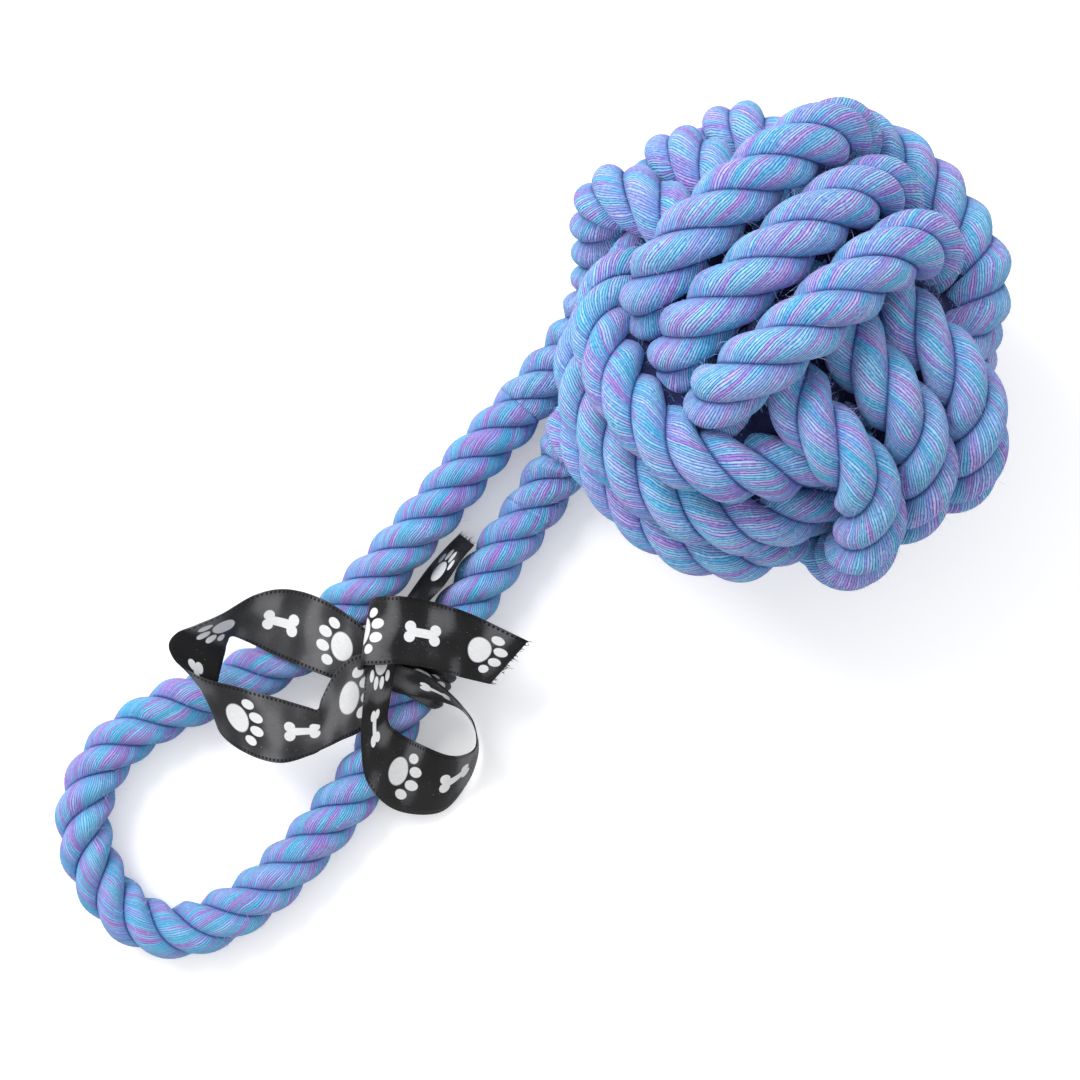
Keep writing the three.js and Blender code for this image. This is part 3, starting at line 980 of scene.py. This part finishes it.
front_tail_edges = [
    ((379, 604, 0.95), (368, 664, 0.9)),
    ((372, 602, 1.2), (362, 664, 1.15)),
    ((371, 600, 1.5), (361, 665, 1.5)),
    ((378, 597, 1.72), (368, 665, 1.72)),
    ((391, 596, 1.8), (382, 665, 1.8)),
    ((408, 597, 1.8), (400, 664, 1.78)),
    ((442, 604, 1.72), (433, 669, 1.68)),
    ((476, 616, 1.6), (460, 677, 1.52)),
    ((528, 641, 1.42), (490, 684, 1.32)),
]
back_tail_edges = [
    ((378, 642, 0.5), (396, 640, 0.85)),
    ((388, 624, 0.2), (408, 626, 0.8)),
    ((404, 602, 0.1), (426, 604, 0.9)),
    ((426, 571, 0.06), (444, 585, 0.95)),
    ((446, 548, 0.05), (461, 560, 0.95)),
    ((460, 534, 0.05), (474, 545, 0.92)),
]

# The ribbon's wrap round the second leg, between these two places of the handle's route, and
# the bow's knot beside it
wrap_between = (22, 23)
knot_away = 0.0128
knot_lean = math.radians(24)
band_folds = 4
fold_rise = 0.0013
points_per_fold = 12
band_rows = 121
# The folds wander by this angle, come and go by this share of their height, and lean over by
# these shares of their width and height
fold_wander = 0.7
fold_swell = 0.2
fold_side_lean = 0.1
fold_tip_lean = 0.5


def thin_strip(name, surface, print_start):
    """A thin closed strip round a grid of points, and its length. Its texture runs in
    millimetres across the flat ribbon and along it."""
    count, half = surface.shape[:2]
    along = places_along(surface[:, half // 2])
    shares = np.linspace(0, 1, half)
    face = np.cross(np.gradient(surface, axis=1), np.gradient(surface, axis=0))
    face *= ribbon_thickness / 2 / np.linalg.norm(face, axis=2)[:, :, None]
    grid = np.concatenate([surface + face, surface - face], axis=1)
    grid[:, :, 2] = np.maximum(grid[:, :, 2], 0.0)
    columns = 2 * half
    order = list(range(half)) + list(range(columns - 1, half - 1, -1))
    faces, texture = [], []
    for i in range(count - 1):
        row, following = i * columns, (i + 1) * columns
        for a, b in zip(order, order[1:] + order[:1]):
            faces.append((row + a, row + b, following + b, following + a))
            u_a, u_b = shares[a % half], shares[b % half]
            texture += [(u_a, along[i]), (u_b, along[i]), (u_b, along[i + 1]), (u_a, along[i + 1])]
    last = (count - 1) * columns
    caps = []
    for a in range(half - 1):
        caps.append((a, half + a, half + a + 1, a + 1))
        caps.append((last + a, last + a + 1, last + half + a + 1, last + half + a))
    piece = new_piece(name, grid.reshape(-1, 3), faces + caps)
    flat = [
        (u * ribbon_width * millimetres, v * millimetres + print_start) for u, v in texture]
    flat += [(0, 0)] * (4 * len(caps))
    piece.data.uv_layers.new(name="ribbon").data.foreach_set("uv", np.array(flat).ravel())
    return piece, float(along[-1])


def edge_points(marks):
    """Points in space of marks that give pixels and a height in rope diameters."""
    return [from_photo(x, y, height * rope_diameter) for x, y, height in marks]


def ribbon_piece(name, edges, print_start, across_count=12, per_span=10):
    """A strip between two edges."""
    near, far = (smooth_curve(edge_points(marks), per_span) for marks in zip(*edges))
    shares = np.linspace(0, 1, across_count + 1)
    surface = np.stack([near + (far - near) * share for share in shares], axis=1)
    return thin_strip(name, surface, print_start)


def gathered_band(name, middle, side, top, reach, span, width, tuck, print_start):
    """A strip wound round something and gathered into folds that run along it. It reaches so
    far to the side and to the top, from one angle to another, and its edges are tucked in by a
    share of that."""
    turn = np.radians(np.linspace(*span, band_rows))[:, None, None]
    share = np.linspace(0, 1, points_per_fold * band_folds + 1)[None, :, None]
    phase = 2 * math.pi * band_folds * share + fold_wander * np.sin(1.6 * turn + 1)
    swell = 1 - fold_swell + fold_swell * np.sin(2.3 * turn + 5 * share)
    height = fold_rise * (0.5 - 0.5 * np.cos(phase)) * swell
    lean = fold_side_lean * width / band_folds * np.sin(phase)
    across = (share - 0.5) * width - lean + fold_tip_lean * height
    tucked = 1 - tuck * (2 * share - 1) ** 2
    surface = middle + across * np.cross(side, top) + (
        (reach[0] * tucked + height) * np.cos(turn) * side
        + (reach[1] * tucked + height) * np.sin(turn) * top)
    return thin_strip(name, surface, print_start)


def thread_piece(name, edges):
    """The loose threads at a strip's cut end, which is its last row."""
    near, far, before = edge_points([*edges[-1], edges[-2][0]])
    random = np.random.default_rng(thread_seed)
    ahead, across = unit(near - before), far - near
    shape = (threads_per_end, 1)
    root = near + across * random.uniform(0, 1, shape) - ahead * thread_start
    length = np.clip(random.gamma(2.0, thread_length_scale, shape), *thread_length_limits)
    slant = unit(across) * random.normal(0, thread_slant, shape)
    way = ahead + slant + random.normal(0, thread_stray, (threads_per_end, 3))
    middle = root + way * length * 0.5
    tip_way = way + random.normal(0, thread_tip_stray, (threads_per_end, 3))
    tip = middle + tip_way * length * 0.5
    return blade_piece(name, root, middle, tip, unit(across) * thread_width / 2)


def filling_piece(turns):
    """The filling, which bulges out a little at the knot's corners and is pressed up under the
    turns that lie over it."""
    tilts = math.pi * np.arange(filling_rows + 1) / filling_rows
    bearings = 2 * math.pi * np.arange(filling_columns) / filling_columns
    tilt, bearing = np.meshgrid(tilts, bearings, indexing="ij")
    level = np.sin(tilt)
    way = np.stack([level * np.cos(bearing), level * np.sin(bearing), np.cos(tilt)], axis=-1)
    size = (np.abs(way) ** filling_squareness).sum(-1) ** (1 / filling_squareness)
    size = filling_reach / size
    over = (turns - ball_middle) @ knot_lie
    distance = lengths(over)
    over, distance = over[distance < filling_room], distance[distance < filling_room]
    for row in range(filling_rows + 1):
        height = way[row] @ over.T
        beside = np.sqrt(np.maximum(distance ** 2 - height ** 2, 0))
        covered = (beside < filling_cover) & (height > 0)
        pressed = np.where(covered, height - filling_sink, 0).max(axis=1)
        size[row] = np.maximum(size[row], pressed)
    for _ in range(2):
        size = (np.roll(size, 1, axis=1) + 2 * size + np.roll(size, -1, axis=1)) / 4
        size[1:-1] = (size[:-2] + 2 * size[1:-1] + size[2:]) / 4
    size[0], size[-1] = size[0].mean(), size[-1].mean()
    points = (ball_middle + (way * size[..., None]) @ knot_lie.T).reshape(-1, 3)
    faces = []
    for row in range(0, filling_rows * filling_columns, filling_columns):
        below = row + filling_columns
        for j in range(filling_columns):
            k = (j + 1) % filling_columns
            faces.append((row + j, below + j, below + k, row + k))
    return new_piece("soft_filling", points, faces)


# Building

make_camera()
line, knot_end = rope_line()
tangents, normals, closing = carried_frames(line)
angles = twist_angles(line, knot_end, closing)
closed = np.vstack([line, line[:1]])
end_side = np.cross(tangents[0], normals[0])
tangents = np.vstack([tangents, tangents[:1]])
normals = np.vstack([normals, math.cos(closing) * normals[0] + math.sin(closing) * end_side])
place = places_along(closed)
thick_share = knot_share(len(closed), knot_end, thickness_passage_steps)
diameters = rope_diameter + (knot_diameter - rope_diameter) * thick_share

handle = RopeStretch(knot_end, len(line))
handle_piece = rope_piece("handle_strands", handle, range(strand_count))
# The two cottons differ only in contrast: how strong their painted ridge highlights, painted
# groove shade and fibre grain are
low_contrast_cotton = cotton_material("low_contrast_cotton", contrast=0.62)
finish_piece(handle_piece, low_contrast_cotton, "handle_rope")
high_contrast_cotton = cotton_material("high_contrast_cotton", contrast=1.15)
knot = RopeStretch(0, knot_end)
for strand in range(strand_count):
    strand_piece = rope_piece(f"knot_strand_{strand + 1}", knot, [strand])
    finish_piece(strand_piece, high_contrast_cotton, "knot_rope")
loose_fibre = grained_material(
    "loose_fibre", (300.0, 1.0), [(0.4, "9CBCF2"), (0.6, "C8C4F4")], roughness=0.8)
fibre_runs = [("handle_fibres", handle, range(strand_count))]
fibre_runs += [(f"knot_fibres_{i + 1}", knot, [i]) for i in range(strand_count)]
for seed, run in enumerate(fibre_runs, first_fibre_seed):
    finish_piece(fibre_piece(*run, seed), loose_fibre)
filling = filling_piece(knot.line)
# The filling is coloured the dark navy of the shade in the knot's holes: painted shade
painted_shade_filling = grained_material(
    "painted_shade_filling", (900.0, 4.0, 0.7), [(0.3, "0E1534"), (0.7, "1E2A5E")],
    roughness=0.95, bump=0.0004)
finish_piece(filling, painted_shade_filling, "filling_ball")

satin = satin_material("black_satin", ("050506", "18181A", "5A5A5C"))
# A lighter copy of the satin for the left loop, which catches more of the lamps: painted light
painted_light_satin = satin_material("painted_light_satin", ("252527", "3E3E40", "68686A"), loop_fold_stretch)
threads = grained_material(
    "loose_thread", (2500.0, 1.0), [(0.45, "151517"), (0.62, "77777C")], roughness=0.6)
leg_start, leg_end = (handle_points[i] for i in wrap_between)
wrap_middle = (leg_start + leg_end) / 2
upward = np.array([0.0, 0, 1])
ahead = unit(leg_end - leg_start)
aside = np.cross(upward, ahead)
knot_out = math.cos(knot_lean) * aside + math.sin(knot_lean) * upward
knot_top = np.cross(ahead, knot_out)
bands = {
    "ribbon_wrap": dict(
        middle=wrap_middle, side=aside, top=upward, reach=(0.0075, 0.0075),
        span=(-50, 230), width=0.0098, tuck=0.0, print_start=20.0),
    "ribbon_knot": dict(
        middle=wrap_middle + knot_away * knot_out, side=ahead, top=-knot_top,
        reach=(0.0070, 0.0048), span=(-80, 260), width=0.0088, tuck=0.35, print_start=3.0),
}
for (node, band), rests_on in zip(bands.items(), ("handle_rope", "ribbon_wrap")):
    piece, length = gathered_band(node.replace("ribbon_", "satin_"), **band)
    finish_piece(piece, satin, node)
for node, edges, material, print_start, cut in (
    ("ribbon_loop_left", left_loop_edges, painted_light_satin, 0.0, False),
    ("ribbon_loop_right", right_loop_edges, satin, 0.0, False),
    ("ribbon_tail_front", front_tail_edges, satin, 0.0, True),
    ("ribbon_tail_back", back_tail_edges, satin, 17.0, True),
):
    piece, length = ribbon_piece(node.replace("ribbon_", "satin_"), edges, print_start)
    finish_piece(piece, material, node)
    loose = []
    if cut:
        loose = [thread_piece(node.replace("ribbon_", "threads_"), edges)]
        finish_piece(loose[0], threads)


# The setting: where the studio's bright side is, how bright its two sides are, the floor, and
# each lamp's place to the right, up and over the floor, its power and its size
bright_side = -0.5 * image_right + 0.7 * image_up + [0, 0, 0.5]
studio_levels = (0.48, 1.36)
floor_half_width = 3.0
floor_drop = 0.0003
floor_glow = 0.3
lamps = (
    ("key", -0.55, 0.55, 0.8, 7.0, 0.45),
    ("fill", 0.8, -0.3, 0.8, 1.5, 0.9),
)


def make_world():
    """A white backdrop whose light is brighter from the upper left than from the lower right."""
    world = bpy.data.worlds.new("studio")
    bpy.context.scene.world = world
    world.use_nodes = True
    w = Nodes(world.node_tree)
    generated = w.node("TexCoord").outputs["Generated"]
    facing = w.node("VectorMath", {0: generated, 1: unit(bright_side)}, operation="DOT_PRODUCT")
    level = w.between(facing.outputs["Value"], -0.2, 1.0, *studio_levels)
    rays = w.node("LightPath").outputs
    mirrored = w.math("MAXIMUM", rays["Is Glossy Ray"], rays["Is Transmission Ray"])
    seen = w.math("MAXIMUM", rays["Is Camera Ray"], mirrored)
    background = w.tree.nodes["Background"]
    w.put(background.inputs[0], (1, 1, 1, 1))
    w.put(background.inputs[1], w.node("Mix", {0: seen, 2: level, 3: 1.0}).outputs[0])


def make_floor():
    half = floor_half_width
    corners = [(-half, -half, 0), (half, -half, 0), (half, half, 0), (-half, half, 0)]
    floor = new_piece("floor", corners, [(0, 1, 2, 3)], smooth=False)
    floor.location.z = -floor_drop
    s = Shade("white_floor")
    camera_ray = s.node("LightPath").outputs["Is Camera Ray"]
    floor.data.materials.append(s.surface({
        "Base Color": (0.85, 0.85, 0.86, 1),
        "Roughness": 0.9,
        "Specular IOR Level": 0.0,
        "Emission Color": (1, 1, 1, 1),
        "Emission Strength": s.times(camera_ray, floor_glow),
    }))


def make_lamps():
    target = Vector(view_axis)
    for name, right, up, height, power, size in lamps:
        data = bpy.data.lights.new(name, "AREA")
        data.energy, data.size = power, size
        lamp = add_object(name, data)
        lamp.location = Vector(view_axis + right * image_right + up * image_up + [0, 0, height])
        lamp.rotation_euler = (target - lamp.location).to_track_quat("-Z", "Y").to_euler()


bpy.context.scene.view_settings.view_transform = "Standard"
make_world()
make_floor()
make_lamps()
